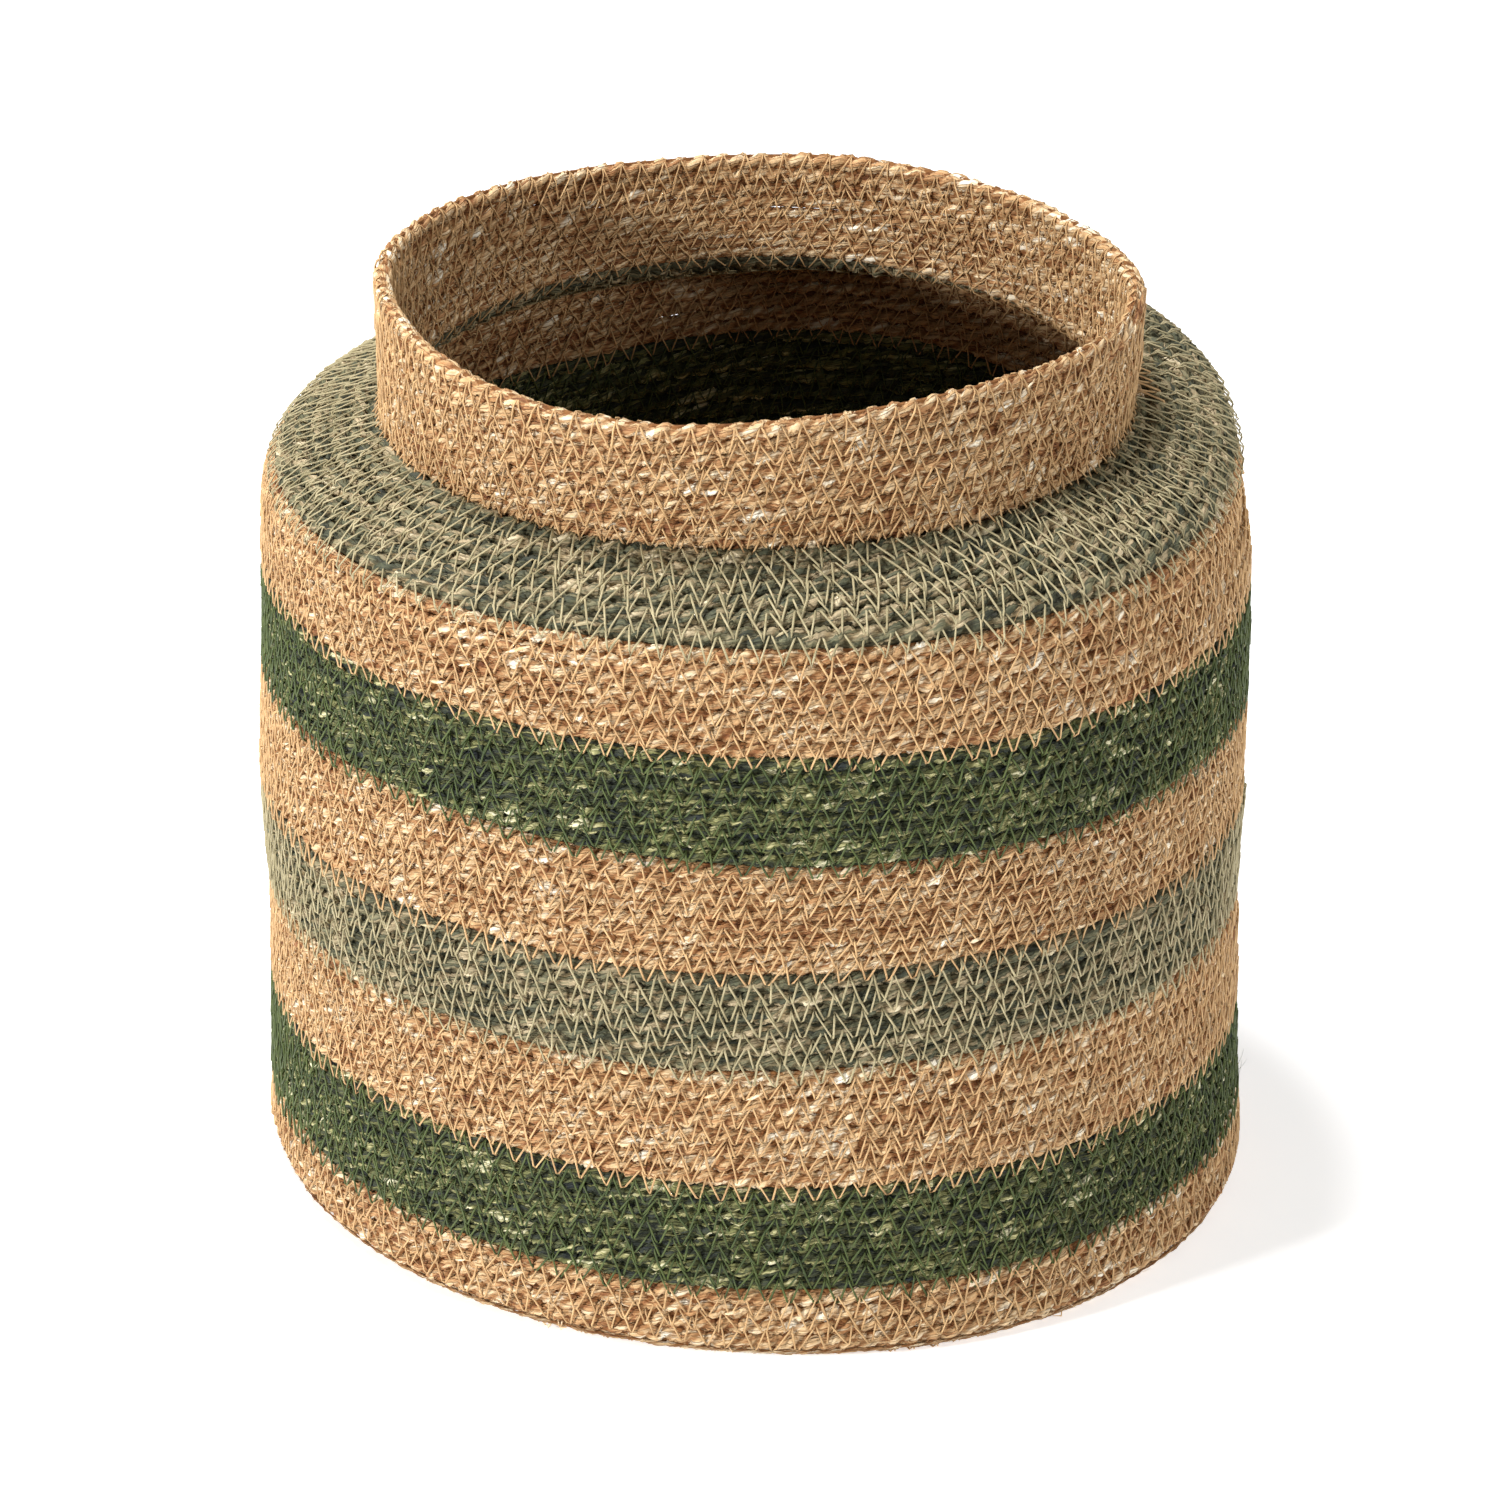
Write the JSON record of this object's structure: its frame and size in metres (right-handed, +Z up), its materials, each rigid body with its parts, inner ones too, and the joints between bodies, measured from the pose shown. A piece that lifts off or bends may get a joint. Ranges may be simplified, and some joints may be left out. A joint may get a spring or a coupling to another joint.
{
  "type": "round coiled grass basket",
  "caption": "Round storage basket of coiled grass cord sewn with zigzag thread, in wide colour bands, with a sloped shoulder and a short open collar.",
  "frame": {"origin": "on the floor plane, under the middle of the overall width", "axes": "+Z up out of the mouth; +X to the right and -Y towards someone looking at the front; the wall leans slightly to -X"},
  "size_m": [0.3726, 0.3674, 0.3428],
  "materials": {
    "natural_cord": "dry twisted grass cord, tan with cream and orange-brown strands, matt",
    "green_cord": "dyed twisted grass cord, blue-black green with pale yellow-green strands, matt",
    "sage_cord": "dyed twisted grass cord, grey-green with brownish strands, matt",
    "natural_thread": "thin tan sewing thread, slightly glossy",
    "green_thread": "thin olive green sewing thread, slightly glossy",
    "sage_thread": "thin khaki sewing thread, slightly glossy"
  },
  "bodies": {
    "root": {"base_coil": "natural_cord", "base_thread": "natural_thread", "heel_coil": "natural_cord", "heel_thread": "natural_thread", "lower_green_coil": "green_cord", "lower_green_thread": "green_thread", "low_natural_coil": "natural_cord", "low_natural_thread": "natural_thread", "sage_coil": "sage_cord", "sage_thread": "sage_thread", "middle_natural_coil": "natural_cord", "middle_natural_thread": "natural_thread", "upper_green_coil": "green_cord", "upper_green_thread": "green_thread", "high_natural_coil": "natural_cord", "high_natural_thread": "natural_thread", "shoulder_coil": "sage_cord", "shoulder_thread": "sage_thread", "neck_coil": "natural_cord", "neck_thread": "natural_thread", "rim_coil": "natural_cord", "rim_thread": "natural_thread"}
  },
  "joints": []
}
